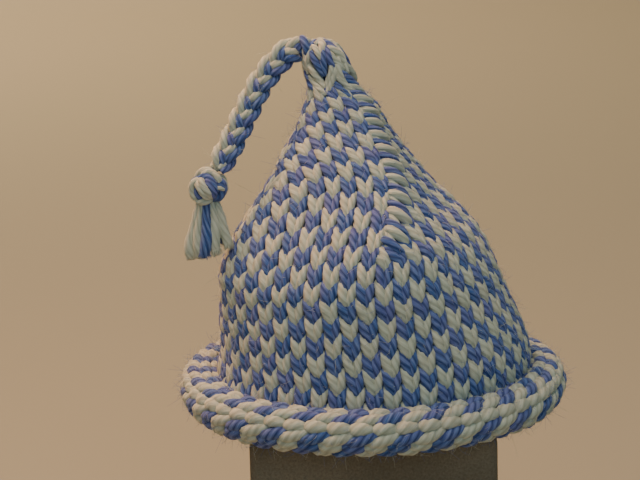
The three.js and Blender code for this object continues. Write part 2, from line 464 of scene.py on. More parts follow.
# Each wool's furrow colour is painted shade for the furrows between its plies.
CREAM_WOOL = PliedWool(
    name="cream_plied_wool", base="#c4cbba", streak="#e3e7da", blush="#d3c8b4", furrow="#7e8370",
    sheen="#fff4e2", streak_share=0.6, blush_share=0.5, furrow_shade_share=0.45)
BLUE_WOOL = PliedWool(
    name="blue_heather_wool", base="#4267a9", streak="#8c9ccd", blush="#7672b4", furrow="#1b2c63",
    sheen="#cfd6f4", streak_share=0.75, blush_share=0.7, furrow_shade_share=0.8)


@dataclass
class Finishes:
    """The materials of the whole object, each made once."""

    yarns: list[bpy.types.Material] = field(
        default_factory=lambda: [CREAM_WOOL.make(), BLUE_WOOL.make()])
    # dark painted shade, behind the crown's stitches and inside the roll, the stub and the knot
    backing: bpy.types.Material = field(default_factory=lambda: KnitBacking().make())
    board: bpy.types.Material = field(default_factory=lambda: GreyBoard().make())


# Yarn


@dataclass
class YarnLength:
    """A length of plied yarn along +Z, from 0 to 1, modelled once and bent along many lines.

    Attributes:
        stations: How many steps it has along its length.
        sides: Corners of its section.
        plies: Plies twisted together, with a furrow between each two.
        furrow_depth: Radius at a furrow, as a share of the radius.
        lay: Length in which the plies make one turn, in millimetres.
    """

    stations: int
    sides: int = 8
    plies: int = 4
    furrow_depth: float = 0.93
    lay: float = 20.0
    section: np.ndarray = field(init=False)
    station: np.ndarray = field(init=False)
    corners: np.ndarray = field(init=False)
    face_sizes: np.ndarray = field(init=False)

    def __post_init__(self) -> None:
        """Models the length and keeps its points and faces."""
        obj = self.model()
        points, mesh = own_points(obj), obj.data
        self.section = points[:, :2]
        self.station = np.rint(points[:, 2] * self.stations).astype(int)
        self.corners = np.array([loop.vertex_index for loop in mesh.loops])
        self.face_sizes = np.array([polygon.loop_total for polygon in mesh.polygons])
        bpy.data.objects.remove(obj)
        bpy.data.meshes.remove(mesh)

    def model(self) -> bpy.types.Object:
        """Models the closed, furrowed length: a disc with pressed-in corners, extruded in steps.

        Returns:
            The modelled length.
        """
        deselect()
        bpy.ops.mesh.primitive_circle_add(vertices=self.sides, radius=1.0, fill_type="NGON")
        obj = bpy.context.object
        edit_points(obj, [k % (self.sides // self.plies) == 0 for k in range(self.sides)])
        bpy.ops.transform.resize(value=(self.furrow_depth, self.furrow_depth, 1.0))
        bpy.ops.mesh.select_all(action="SELECT")
        step = {"value": (0.0, 0.0, 1.0 / self.stations)}
        for _ in range(self.stations):
            bpy.ops.mesh.extrude_region_move(TRANSFORM_OT_translate=step)
        leave_edit()
        return obj

    def bent(self, lines: np.ndarray, radii: np.ndarray, outward: np.ndarray,
             phase: np.ndarray, flat: float) -> tuple[np.ndarray, np.ndarray]:
        """Bends a copy along each line, its plies twisted to the left like an S.

        Args:
            lines: Places of the stations, in millimetres: line, station, axis.
            radii: The yarn's radius at each station of each line.
            outward: The direction out of the fabric at each station.
            phase: The turn of each line's plies at its start.
            flat: Thickness across the fabric, as a share of the width.

        Returns:
            The points, and how far each lies along its line in millimetres.
        """
        along = unit(np.gradient(lines, axis=1))
        side = unit(np.cross(outward, along))
        out = np.cross(along, side)
        steps = np.linalg.norm(np.diff(lines, axis=1), axis=2)
        length = np.concatenate([np.zeros((len(lines), 1)), np.cumsum(steps, axis=1)], axis=1)
        turn = phase[:, None] - FULL_TURN * length / self.lay
        k = self.station
        cos, sin = np.cos(turn)[:, k], np.sin(turn)[:, k]
        across = self.section[:, 0] * cos - self.section[:, 1] * sin
        above = self.section[:, 0] * sin + self.section[:, 1] * cos
        reach = radii[:, k]
        points = (lines[:, k] + (reach * across)[..., None] * side[:, k]
                  + (flat * reach * above)[..., None] * out[:, k])
        return points, length[:, k]


class YarnHeap:
    """Yarns laid one after another, which become one piece with a slot for each wool."""

    streak_stretch: float = 0.14  # the fibres' noise runs slower along a yarn than across it
    streak_shift: float = 40.0
    tint_range: float = 0.3
    least_furrow: float = 0.05

    def __init__(self, seed: int) -> None:
        """Starts an empty heap with its own fixed dice.

        Args:
            seed: Starts the dice.
        """
        self.dice = np.random.default_rng(seed)
        self.parts: dict[str, list[np.ndarray]] = {
            key: [] for key in ("points", "corners", "sizes", "wool", "strand", "tint", "furrow")}
        self.filled = 0

    def lay(self, yarn: YarnLength, lines: np.ndarray, radii: np.ndarray, outward: np.ndarray,
            wools: np.ndarray, flat: float = 1.0, floor: float | None = None) -> None:
        """Lays a copy of the yarn along each line.

        Args:
            yarn: The modelled length.
            lines: Places of the stations, in millimetres: line, station, axis.
            radii: The radius at each station of each line.
            outward: The direction out of the fabric at each station.
            wools: The wool of each line.
            flat: Thickness across the fabric, as a share of the width.
            floor: Height of a surface that the yarn is pressed flat on, if any.
        """
        count, size = len(lines), len(yarn.section)
        phase = self.dice.uniform(0, FULL_TURN, count)
        points, length = yarn.bent(lines, radii, outward, phase, flat)
        if floor is not None:
            points[..., 2] = np.maximum(points[..., 2], floor)
        angle = np.arctan2(yarn.section[:, 1], yarn.section[:, 0])
        mean = radii.mean(axis=1)[:, None]
        shift = self.dice.uniform(0, self.streak_shift, (count, 1))
        # how deep each point lies in a furrow, where the wools paint shade
        furrow = ((1 - np.linalg.norm(yarn.section, axis=1))
                  / max(1 - yarn.furrow_depth, self.least_furrow))
        laid = {
            "points": points.reshape(-1, 3),
            "corners": (yarn.corners + (self.filled + size * np.arange(count))[:, None]).ravel(),
            "sizes": np.tile(yarn.face_sizes, count),
            "wool": np.repeat(np.asarray(wools, dtype=int), len(yarn.face_sizes)),
            "strand": np.stack([mean * np.cos(angle), mean * np.sin(angle),
                                self.streak_stretch * length + shift], axis=2).reshape(-1, 3),
            "tint": np.repeat(self.dice.uniform(0, self.tint_range, count), size),
            "furrow": np.tile(furrow, count)}
        for key, values in laid.items():
            self.parts[key].append(values)
        self.filled += size * count

    def lay_one(self, yarn: YarnLength, line: np.ndarray, radius: np.ndarray | float,
                outward: np.ndarray, wool: Wool, flat: float = 1.0) -> None:
        """Lays one yarn.

        Args:
            yarn: The modelled length.
            line: Places of the stations, in millimetres.
            radius: The radius at each station, or throughout.
            outward: The direction out of the fabric at each station, or throughout.
            wool: The yarn's wool.
            flat: Thickness across the fabric, as a share of the width.
        """
        radii = np.broadcast_to(radius, (1, len(line)))
        self.lay(yarn, line[None], radii, np.broadcast_to(outward, (1, *line.shape)),
                 np.array([wool]), flat)

    def piece(self, name: str, finishes: Finishes) -> bpy.types.Object:
        """Makes the piece of all that was laid.

        Args:
            name: The piece's name.
            finishes: The object's materials.

        Returns:
            The piece, at the origin, with its place in its mesh.
        """
        joined = {key: np.concatenate(value) for key, value in self.parts.items()}
        starts = np.r_[0, np.cumsum(joined["sizes"])[:-1]]
        mesh = bpy.data.meshes.new(name)
        mesh.vertices.add(len(joined["points"]))
        mesh.vertices.foreach_set("co", (joined["points"] * MM).astype(np.float32).ravel())
        mesh.loops.add(len(joined["corners"]))
        mesh.loops.foreach_set("vertex_index", joined["corners"].astype(np.int32))
        mesh.polygons.add(len(starts))
        mesh.polygons.foreach_set("loop_start", starts.astype(np.int32))
        mesh.polygons.foreach_set("material_index", joined["wool"].astype(np.int32))
        mesh.polygons.foreach_set("use_smooth", np.ones(len(starts), dtype=bool))
        for key, kind, part in (("strand", "FLOAT_VECTOR", "vector"), ("tint", "FLOAT", "value"),
                                ("furrow", "FLOAT", "value")):
            attribute = mesh.attributes.new(key, kind, "POINT")
            attribute.data.foreach_set(part, joined[key].astype(np.float32).ravel())
        mesh.update(calc_edges=True)
        mesh.validate()
        for material in finishes.yarns:
            mesh.materials.append(material)
        return add_object(name, mesh)


# Crown


@dataclass
class Crown:
    """The crown: four panels of stranded stockinette, cream and blue by turns.

    A leg's table has four columns: its distance from the stitch's middle in columns, its
    height in rows, and its depth and thickness as shares of the yarn's radius.
    """

    body_radius: float = 85.5
    tip_lean: float = 19.6
    tip_back: float = 12.0
    ridge_rise: float = 0.055
    panels: int = 4
    wall: float = 7.0
    first_row: float = 0.058
    low_row: float = 0.0556
    shaping_row: int = 8
    high_row: float = 0.0505
    high_row_shrink: float = 0.00078
    stitch_middle: float = 0.4
    stations: int = 9
    yarn_share: float = 0.285
    thickest_yarn: float = 2.85
    thinnest_yarn: float = 1.7
    left_leg: float = 1.06
    right_leg: float = 0.94
    stray_over: float = 0.018
    stray_up: float = 0.03
    plumpness: float = 0.045
    ridge_yarn: float = 2.75
    ridge_taper: float = 0.036
    ridge_furrow: float = 0.92
    ridge_lay: float = 46.0
    ridge_sink: float = 4.5
    droop_gather: float = 2.6
    backing_depth: float = 3.4
    backing_top: float = 0.985
    backing_turns: int = 112
    backing_levels: int = 44
    backing_merge: float = 0.02
    bands: tuple[tuple[str, range, int], ...] = (  # piece, its rows from the lowest, dice
        ("crown_lower_stitches", range(-1, 4), 11),
        ("crown_middle_stitches", range(4, 9), 12),
        ("crown_upper_stitches", range(9, 20), 13))
    sections: Table = (  # share of the height, lean, back, width, ridge, where the ridge points
        (0.0, 0.0, 0.0, 1.0, 0.0, 15), (0.105, -0.09, 0.0, 0.975, 0.0, 15),
        (0.194, 0.0, 0.0, 0.947, 0.0, 15), (0.272, 0.13, -0.08, 0.91, 0.1, 15),
        (0.34, 0.24, -0.14, 0.877, 0.2, 15), (0.402, 0.33, -0.18, 0.851, 0.34, 15),
        (0.508, 0.35, -0.2, 0.75, 0.65, 16.5), (0.588, 0.43, 0.0, 0.638, 0.9, 21),
        (0.644, 0.53, 0.15, 0.551, 1.0, 27), (0.718, 0.59, 0.4, 0.458, 1.0, 34),
        (0.776, 0.65, 0.58, 0.39, 1.0, 37), (0.851, 0.67, 0.78, 0.296, 0.9, 37),
        (0.916, 0.7, 0.9, 0.237, 0.7, 38), (0.966, 0.83, 0.97, 0.179, 0.4, 40),
        (1.0, 1.0, 1.0, 0.146, 0.2, 40))
    columns: Table = (  # row, and the columns of the front right, back right, back left, front left
        (-1, 14, 12, 14, 14), (1, 14, 12, 14, 14), (2, 14, 11, 13, 14), (4, 14, 11, 12, 13),
        (5, 14, 10, 11, 13), (7, 14, 10, 11, 12), (8, 14, 9, 10, 12), (11, 11, 6, 7, 9),
        (12, 10, 6, 6, 8), (14, 8, 5, 5, 6), (15, 7, 4, 4, 6), (17, 5, 4, 3, 4),
        (18, 4, 3, 3, 4), (19, 3, 3, 3, 3), (21, 3, 3, 3, 3))
    seam: Table = (  # share of the height, and degrees that the first ridge lies round from front
        (0.0, -12.5), (0.2, -11.5), (0.34, -8.8), (0.503, -7.3), (0.554, -5.0), (0.6, -2.6),
        (0.65, -0.6), (0.7, 0.0), (1.0, 0.0))
    droop: Table = (  # row, and how many rows it sinks on the left, under the tip
        (-1.0, 0.8), (0.0, 0.85), (8.0, 1.85), (13.0, 1.75), (17.0, 1.1), (19.0, 0.5),
        (21.0, 0.2))
    leg: Table = (
        (0.02, -0.52, 2.0, 0.3), (0.055, -0.35, 1.1, 0.68), (0.125, -0.03, 0.88, 0.93),
        (0.205, 0.34, 0.88, 1.03), (0.275, 0.68, 0.98, 1.03), (0.335, 0.96, 1.28, 0.88),
        (0.37, 1.17, 2.1, 0.5))
    ridge_bar: Table = (
        (1.7, -0.16, 1.9, 0.5), (1.48, -0.02, 0.9, 0.9), (1.1, 0.2, 0.3, 1.06),
        (0.7, 0.43, 0.0, 1.1), (0.32, 0.65, 0.05, 1.08), (0.02, 0.84, 0.6, 0.9),
        (-0.14, 0.98, 1.6, 0.5))
    ridge_under: Table = (
        (1.6, -0.68, 2.0, 0.5), (1.3, -0.5, 0.8, 0.86), (0.9, -0.27, 0.25, 0.94),
        (0.5, -0.04, 0.05, 0.96), (0.14, 0.16, 0.15, 0.92), (-0.08, 0.32, 0.8, 0.7),
        (-0.2, 0.44, 1.7, 0.4))

    def __post_init__(self) -> None:
        """Reads the crown's base and height from the frame."""
        low, high = node_box("crown")
        self.base, self.height = low[2], high[2] - low[2]
        names = ("up", "lean", "back", "wide", "ridge", "turn")
        self.table = dict(zip(names, np.array(self.sections).T))

    def read(self, column: str, up: np.ndarray) -> np.ndarray:
        """Reads a column of the section table, smoothly.

        Args:
            column: The column's name.
            up: Shares of the height.

        Returns:
            The value at each share.
        """
        levels, values = self.table["up"], self.table[column]
        before = np.maximum(np.arange(len(levels)) - 1, 0)
        after = np.minimum(np.arange(len(levels)) + 1, len(levels) - 1)
        slope = (values[after] - values[before]) / (levels[after] - levels[before])
        k = np.clip(np.searchsorted(levels, up, side="right") - 1, 0, len(levels) - 2)
        span = levels[k + 1] - levels[k]
        t = (np.clip(up, 0, 1) - levels[k]) / span
        return ease(t, values[k], span * slope[k], values[k + 1], span * slope[k + 1])

    def skin(self, around: np.ndarray, up: np.ndarray) -> np.ndarray:
        """Points of the crown's outside.

        Args:
            around: Angle from the front ridge, in radians.
            up: Share of the height.

        Returns:
            The points, in millimetres.
        """
        ridge = self.ridge_rise * self.read("ridge", up) * np.cos(self.panels * around)
        reach = self.read("wide", up) * self.body_radius * (1 + ridge)
        azimuth = self.azimuth(around, up)
        x = reach * np.cos(azimuth) - self.tip_lean * self.read("lean", up)
        y = reach * np.sin(azimuth) + self.tip_back * self.read("back", up)
        return np.stack([x, y, self.base + self.height * up], axis=-1)

    def azimuth(self, around: np.ndarray, up: np.ndarray) -> np.ndarray:
        """The azimuth of angles from the front ridge, at shares of the height."""
        return np.radians(self.read("turn", up)) - math.pi / 2 + around

    def outward(self, around: np.ndarray, up: np.ndarray) -> np.ndarray:
        """Directions out of the crown.

        Args:
            around: Angle from the front ridge, in radians.
            up: Share of the height.

        Returns:
            The directions, at length one.
        """
        step = 1e-3
        level = np.clip(up, step, 1 - step)
        across = self.skin(around + step, level) - self.skin(around - step, level)
        rising = self.skin(around, level + step) - self.skin(around, level - step)
        return unit(np.cross(across, rising))

    def row_height(self, row: np.ndarray) -> np.ndarray:
        """Finds a row's height, as rows below and above the shaping each have their pitch.

        Args:
            row: Rows from the lowest row that shows.

        Returns:
            Shares of the height.
        """
        past = np.maximum(row - self.shaping_row, 0)
        below = np.minimum(row, self.shaping_row)
        return (self.first_row + self.low_row * below + self.high_row * past
                - self.high_row_shrink * past * past)

    def panel_columns(self, row: np.ndarray | float) -> np.ndarray:
        """Columns of each panel at a row, the panels along the last axis."""
        rows, *panels = np.array(self.columns, dtype=float).T
        return np.stack([np.interp(row, rows, counts) for counts in panels], axis=-1)

    def place(self, panel: np.ndarray, column: np.ndarray, row: np.ndarray,
              from_ridge: bool = False) -> tuple[np.ndarray, np.ndarray, np.ndarray]:
        """Angle and height of a place in the knitting.

        Args:
            panel: The panel, 0 to the right of the front ridge and on round the back.
            column: Columns back from the panel's last one, which no decrease cuts.
            row: Rows from the lowest row that shows.
            from_ridge: Whether column is counted from the panel's first ridge instead.

        Returns:
            The angle from the front ridge, the share of the height, and how many columns the
            place lies past the panel's first ridge, where it runs under the next panel.
        """
        counts = self.panel_columns(row)
        ends = np.cumsum(counts, axis=-1)
        panel = np.broadcast_to(panel, row.shape)[..., None]
        end = np.take_along_axis(ends, panel, axis=-1)[..., 0]
        start = end - np.take_along_axis(counts, panel, axis=-1)[..., 0]
        reach = start + column if from_ridge else end - column
        past = np.zeros_like(reach) if from_ridge else np.maximum(start - reach, 0)
        level = self.row_height(row)
        seam = np.radians(np.interp(level, *np.array(self.seam).T))
        around = reach * FULL_TURN / ends[..., -1] + seam
        leftness = np.maximum(-np.cos(self.azimuth(around, level)), 0) ** self.droop_gather
        droop = np.interp(row, *np.array(self.droop).T) * leftness
        return around, self.row_height(row - droop), past

    def stitches(self, rows: range) -> tuple[np.ndarray, np.ndarray, np.ndarray, np.ndarray]:
        """Lists the stitches of some rows.

        Args:
            rows: The rows, 0 the lowest that shows.

        Returns:
            Each stitch's panel, column from the panel's end, row, and whether it is a decrease.
        """
        found = []
        for row in rows:
            counts, before = (np.rint(self.panel_columns(r)).astype(int) for r in (row, row - 1))
            for panel, (kept, had) in enumerate(zip(counts, before)):
                found += [(panel, m, row, kept < had and m == kept) for m in range(1, kept + 1)]
        panel, column, row, shaped = np.array(found).T
        return panel, column, row, shaped.astype(bool)

    def lay_legs(self, heap: YarnHeap, yarn: YarnLength, legs: Table,
                 stitches: tuple[np.ndarray, ...], side: float, size: float,
                 from_ridge: bool = False) -> None:
        """Lays one leg of each stitch.

        Args:
            heap: Gets the yarns.
            yarn: The modelled length.
            legs: The leg's table.
            stitches: Panel, column from the panel's end, row and wool of each stitch.
            side: -1 for the left leg, 1 for the right.
            size: The leg's thickness, as a share of the stitch's yarn.
            from_ridge: Whether the leg's distance is measured from the ridge.
        """
        away, rise, deep, thick = smooth_through(np.array(legs), yarn.stations + 1).T
        panel, column, row, wools = stitches
        each = (len(panel), 1)
        over = heap.dice.normal(0, self.stray_over, each)
        heights = row[:, None] + rise + heap.dice.normal(0, self.stray_up, each)
        plump = 1 + heap.dice.normal(0, self.plumpness, each)
        columns = away + over if from_ridge else column[:, None] - 0.5 - side * away - over
        around, up, past = self.place(panel[:, None], columns, heights, from_ridge)
        if from_ridge:
            radius = self.ridge_yarn * (1 - self.ridge_taper * (row - self.shaping_row))
        else:
            edges = [self.skin(*self.place(panel, edge, row + self.stitch_middle)[:2])
                     for edge in (column - 1.0, column.astype(float))]
            pitch = np.linalg.norm(edges[0] - edges[1], axis=1)
            radius = np.clip(self.yarn_share * pitch, self.thinnest_yarn, self.thickest_yarn)
        radius = radius[:, None]
        out = self.outward(around, up)
        sunk = radius * deep + self.ridge_sink * past
        lines = self.skin(around, up) - out * sunk[..., None]
        heap.lay(yarn, lines, radius * size * plump * thick, out, wools)

    def knit(self, name: str, rows: range, seed: int, finishes: Finishes) -> None:
        """Knits some rows as one piece.

        Args:
            name: The piece's name.
            rows: The rows, 0 the lowest that shows.
            seed: Starts the piece's dice.
            finishes: The object's materials.
        """
        heap = YarnHeap(seed)
        yarn = YarnLength(self.stations)
        panel, column, row, on_ridge = self.stitches(rows)
        wools = np.where((column + row) % 2 == 0, CREAM, BLUE)
        for side, size in ((-1, self.left_leg), (1, self.right_leg)):
            self.lay_legs(heap, yarn, self.leg, (panel, column, row, wools), side, size)
        shown = on_ridge & (panel == 0)
        if shown.any():
            drawn = YarnLength(self.stations, furrow_depth=self.ridge_furrow, lay=self.ridge_lay)
            for legs, wool in ((self.ridge_under, BLUE), (self.ridge_bar, CREAM)):
                found = (panel[shown], column[shown], row[shown], np.full(shown.sum(), wool))
                self.lay_legs(heap, drawn, legs, found, -1, 1.0, from_ridge=True)
        settle(heap.piece(name, finishes), "crown_knit")

    def build_backing(self, finishes: Finishes) -> None:
        """Builds the shell behind the stitches: a grid rolled round the crown and thickened.

        Args:
            finishes: The object's materials.
        """
        deselect()
        bpy.ops.mesh.primitive_grid_add(
            x_subdivisions=self.backing_turns, y_subdivisions=self.backing_levels, size=1.0)
        obj = bpy.context.object
        flat = own_points(obj) + 0.5
        around, up = flat[:, 0] * FULL_TURN, flat[:, 1] * self.backing_top
        inner = self.skin(around, up) - self.outward(around, up) * self.backing_depth
        set_points(obj, inner * MM)
        bpy.ops.object.mode_set(mode="EDIT")
        bpy.ops.mesh.select_all(action="SELECT")
        bpy.ops.mesh.remove_doubles(threshold=self.backing_merge * MM)
        bpy.ops.mesh.select_all(action="DESELECT")
        bpy.ops.mesh.select_non_manifold()
        bpy.ops.object.mode_set(mode="OBJECT")
        middle = (self.base + self.height / 2) * MM
        edit_points(obj, [v.select and v.co.z > middle for v in obj.data.vertices])
        bpy.ops.mesh.edge_face_add()
        leave_edit()
        apply_modifier(obj, "SOLIDIFY", thickness=(self.wall - self.backing_depth) * MM, offset=-1)
        # the backing's dark colour is painted shade, seen in the gaps between the stitches
        dress(obj, "crown_backing", finishes.backing)
        settle(obj, "crown_knit", "crown")

    def build(self, finishes: Finishes) -> None:
        """Builds the backing shell and all rows of stitches, in three pieces.

        Args:
            finishes: The object's materials.
        """
        self.build_backing(finishes)
        for name, rows, seed in self.bands:
            self.knit(name, rows, seed, finishes)


# Brim


@dataclass(frozen=True)
class BrimStitch:
    """A kind of stitch on the roll.

    Attributes:
        radius: The yarn's radius.
        flat: The yarn's thickness across the fabric, as a share of its width.
        line: Its points: place across in stitches, rise, depth and thickness, the last two
            as shares of the radius.
    """

    radius: float
    flat: float
    line: Table


@dataclass(frozen=True)
class BrimRow:
    """A row round the roll: its place round the section, 0 outwards and 90 up, and its wools."""

    angle: float
    kind: RowKind
    wools: tuple[Wool, Wool]
    start: float = 0.0


BRIM_STITCHES: dict[RowKind, BrimStitch] = {
    ROPE: BrimStitch(3.15, 0.92, (
        (-0.88, -3.5, 2.0, 0.42), (-0.72, -3.0, 1.15, 0.8), (-0.4, -1.8, 0.8, 1.0),
        (0.0, 0.1, 0.85, 1.03), (0.38, 1.9, 1.15, 0.94), (0.66, 2.9, 1.65, 0.72),
        (0.88, 3.5, 2.4, 0.42))),
    BUMP: BrimStitch(3.6, 0.85, (
        (-0.53, -1.0, 1.9, 0.45), (-0.42, -0.5, 1.15, 0.8), (-0.2, 0.2, 0.82, 1.02),
        (0.03, 0.45, 0.76, 1.08), (0.24, 0.15, 0.86, 1.02), (0.43, -0.5, 1.2, 0.78),
        (0.53, -0.9, 1.9, 0.45))),
}


@dataclass
class Brim:
    """The edge, rolled outwards: rows of slanting rope stitches and of round purl bumps."""

    roll_radius: float = 12.4
    middle_radius: float = 91.6
    foot_width: float = 10.0
    stitches: int = 54
    stations: int = 9
    seed: int = 21
    core_inset: float = 3.6
    core_sides: int = 112
    core_section: int = 24
    core_gap: float = 0.3
    yarn_gap: float = 0.1
    stray_over: float = 0.03
    stray_up: float = 0.25
    plumpness: float = 0.05
    waver: float = 2.2
    waver_start: float = 0.6
    ripples: Table = ((3, 0.006, 1.0), (7, 0.004, 0.0))  # waves round the roll, size, start
    rows: tuple[BrimRow, ...] = (
        BrimRow(129, BUMP, (BLUE, CREAM), 0.7),
        BrimRow(96, BUMP, (CREAM, BLUE), 0.3),
        BrimRow(63, ROPE, (CREAM, BLUE)),
        BrimRow(30, BUMP, (CREAM, CREAM), 0.5),
        BrimRow(-2, ROPE, (CREAM, BLUE), 0.55),
        BrimRow(-34, BUMP, (CREAM, BLUE), 0.1),
        BrimRow(-65, BUMP, (BLUE, CREAM), 0.6),
        BrimRow(-98, BUMP, (CREAM, BLUE)),
        BrimRow(-130, BUMP, (CREAM, CREAM), 0.4),
        BrimRow(-162, BUMP, (BLUE, CREAM)),
    )

    def __post_init__(self) -> None:
        """Reads the foot's height from the frame."""
        self.foot = node_box("brim_roll")[0][2]
        over_foot = math.sqrt(self.roll_radius ** 2 - (self.foot_width / 2) ** 2)
        self.middle_height = self.foot + over_foot

    def skin(self, azimuth: np.ndarray, angle: np.ndarray, deep: np.ndarray) -> np.ndarray:
        """Points of the roll.

        Args:
            azimuth: Place round the cap, in radians.
            angle: Place round the roll's section, in radians.
            deep: How far the points are sunk, in millimetres.

        Returns:
            The points, in millimetres.
        """
        swell = 1.0
        for waves, size, start in self.ripples:
            swell = swell + size * np.sin(waves * azimuth + start)
        reach = self.middle_radius * swell + (self.roll_radius - deep) * np.cos(angle)
        height = self.middle_height + (self.roll_radius - deep) * np.sin(angle)
        return np.stack([reach * np.cos(azimuth), reach * np.sin(azimuth), height], axis=-1)

    def lay_row(self, heap: YarnHeap, yarn: YarnLength, row: BrimRow) -> None:
        """Lays a row all round the roll.

        Args:
            heap: Gets the yarns.
            yarn: The modelled length.
            row: The row.
        """
        stitch = BRIM_STITCHES[row.kind]
        across, rise, deep, thick = smooth_through(np.array(stitch.line), yarn.stations + 1).T
        index = np.arange(self.stitches)
        over, lift, plump = (heap.dice.normal(0, spread, (self.stitches, 1))
                             for spread in (self.stray_over, self.stray_up, self.plumpness))
        step = FULL_TURN / self.stitches
        azimuth = (index[:, None] + row.start + across + over) * step - math.pi / 2
        drift = np.radians(self.waver) * np.sin(2 * azimuth + self.waver_start)
        angle = math.radians(row.angle) + drift + (rise + lift) / self.roll_radius
        lines = self.skin(azimuth, angle, stitch.radius * deep)
        wools = np.where(index % 2 == 0, *row.wools)
        heap.lay(yarn, lines, stitch.radius * (1 + plump) * thick, direction(azimuth, angle), wools,
                 stitch.flat, self.foot + self.yarn_gap)

    def build_core(self, finishes: Finishes) -> None:
        """Builds the inside of the roll: a ring, pressed flat where it rests.

        Args:
            finishes: The object's materials.
        """
        deselect()
        bpy.ops.mesh.primitive_torus_add(
            major_segments=self.core_sides, minor_segments=self.core_section,
            major_radius=self.middle_radius * MM,
            minor_radius=(self.roll_radius - self.core_inset) * MM,
            location=(0, 0, self.middle_height * MM))
        obj = bpy.context.object
        # the core's dark colour is painted shade, seen in the gaps between the roll's yarns
        finish_form(obj, "brim_core", finishes.backing)
        points = own_points(obj)
        points[:, 2] = np.maximum(points[:, 2], (self.foot + self.core_gap) * MM)
        set_points(obj, points)
        settle(obj, "brim_knit", "brim_roll")

    def build(self, finishes: Finishes) -> None:
        """Builds the roll's inside and its rows of stitches.

        Args:
            finishes: The object's materials.
        """
        self.build_core(finishes)
        heap, yarn = YarnHeap(self.seed), YarnLength(self.stations)
        for row in self.rows:
            self.lay_row(heap, yarn, row)
        settle(heap.piece("brim_stitches", finishes), "brim_knit")


# Peak


@dataclass(frozen=True)
class HandLaidYarn:
    """A yarn whose points are given one by one.

    Attributes:
        wool: Its wool.
        radius: Its radius.
        points: Its points, as azimuth in degrees, and height on the stub in millimetres or
            elevation on the knot in degrees.
        lift: How far it stands off the surface.
    """

    wool: Wool
    radius: float
    points: Table
    lift: float = 0.0


